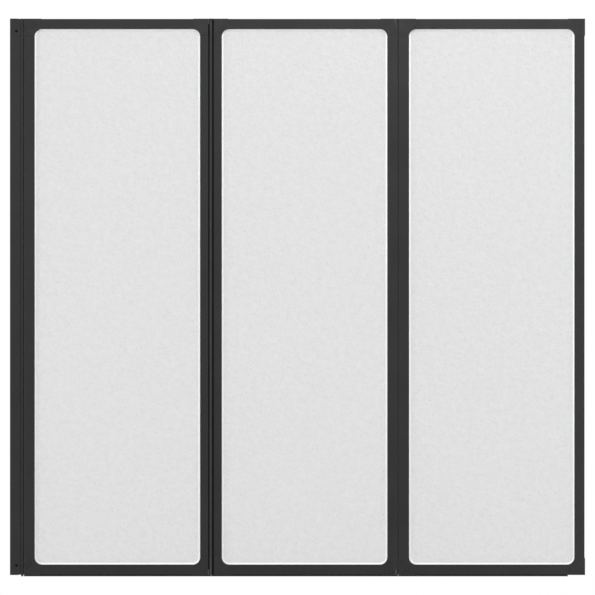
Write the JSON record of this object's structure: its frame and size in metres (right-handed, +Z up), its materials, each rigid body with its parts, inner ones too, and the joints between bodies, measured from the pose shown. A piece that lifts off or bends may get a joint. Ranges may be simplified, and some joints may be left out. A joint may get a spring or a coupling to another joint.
{
  "type": "shower screen",
  "caption": "Folding bath screen: framed, pebbled translucent panes on hinged panels that zigzag flat against a wall channel, with wiping seals along the bottom.",
  "frame": {"origin": "on the wall face of the channel, at mid-depth, on the middle wall screw's hole", "axes": "+X from the wall along the open screen, +Y to its back, +Z up"},
  "size_m": [1.2483, 0.0276, 1.211],
  "materials": {
    "frame_profile": "satin anthracite powder coat",
    "moulding": "satin anthracite moulding",
    "pane": "satin, translucent, with a pebbled relief",
    "gasket": "satin white",
    "seal": "satin black",
    "bush": "satin black acetal",
    "steel": "satin stainless",
    "black_screw": "matte black oxide on steel"
  },
  "bodies": {
    "wall_frame": {"wall_profile": "frame_profile", "wall_cap_top": "moulding", "wall_cap_bottom": "moulding", "hinge_post": "frame_profile", "post_bracket_top": "moulding", "post_bracket_bottom": "moulding", "post_screws": "steel", "adjusting_screws": "black_screw", "wall_hinge_pins": "steel"},
    "panel_1": {"panel_1_left_stile": "frame_profile", "panel_1_right_stile": "frame_profile", "panel_1_top_rail": "frame_profile", "panel_1_bottom_rail": "frame_profile", "panel_1_corner_top_left": "moulding", "panel_1_corner_top_right": "moulding", "panel_1_corner_bottom_left": "moulding", "panel_1_corner_bottom_right": "moulding", "panel_1_pane": "pane", "panel_1_glazing_gasket": "gasket", "panel_1_bottom_seal": "seal", "panel_1_hinge_bushes": "bush", "panel_1_frame_screws": "steel", "panel_1_hinge_pins": "steel"},
    "panel_2": {"panel_2_left_stile": "frame_profile", "panel_2_right_stile": "frame_profile", "panel_2_top_rail": "frame_profile", "panel_2_bottom_rail": "frame_profile", "panel_2_corner_top_left": "moulding", "panel_2_corner_top_right": "moulding", "panel_2_corner_bottom_left": "moulding", "panel_2_corner_bottom_right": "moulding", "panel_2_pane": "pane", "panel_2_glazing_gasket": "gasket", "panel_2_bottom_seal": "seal", "panel_2_hinge_bushes": "bush", "panel_2_frame_screws": "steel", "panel_2_hinge_pins": "steel"},
    "panel_3": {"panel_3_left_stile": "frame_profile", "panel_3_right_stile": "frame_profile", "panel_3_top_rail": "frame_profile", "panel_3_bottom_rail": "frame_profile", "panel_3_corner_top_left": "moulding", "panel_3_corner_top_right": "moulding", "panel_3_corner_bottom_left": "moulding", "panel_3_corner_bottom_right": "moulding", "panel_3_pane": "pane", "panel_3_glazing_gasket": "gasket", "panel_3_bottom_seal": "seal", "panel_3_hinge_bushes": "bush", "panel_3_frame_screws": "steel"}
  },
  "joints": [
    {"name": "wall_hinge", "type": "hinge", "parent": "wall_frame", "child": "panel_1", "pos_m": [0.0296, 0.0106, 0], "axis": [0, 0, 1], "range_deg": [0, 90]},
    {"name": "middle_hinge", "type": "hinge", "parent": "panel_1", "child": "panel_2", "pos_m": [0.4361, -0.0106, 0], "axis": [0, 0, -1], "range_deg": [0, 180]},
    {"name": "outer_hinge", "type": "hinge", "parent": "panel_2", "child": "panel_3", "pos_m": [0.8426, 0.0106, 0], "axis": [0, 0, 1], "range_deg": [0, 180]}
  ]
}
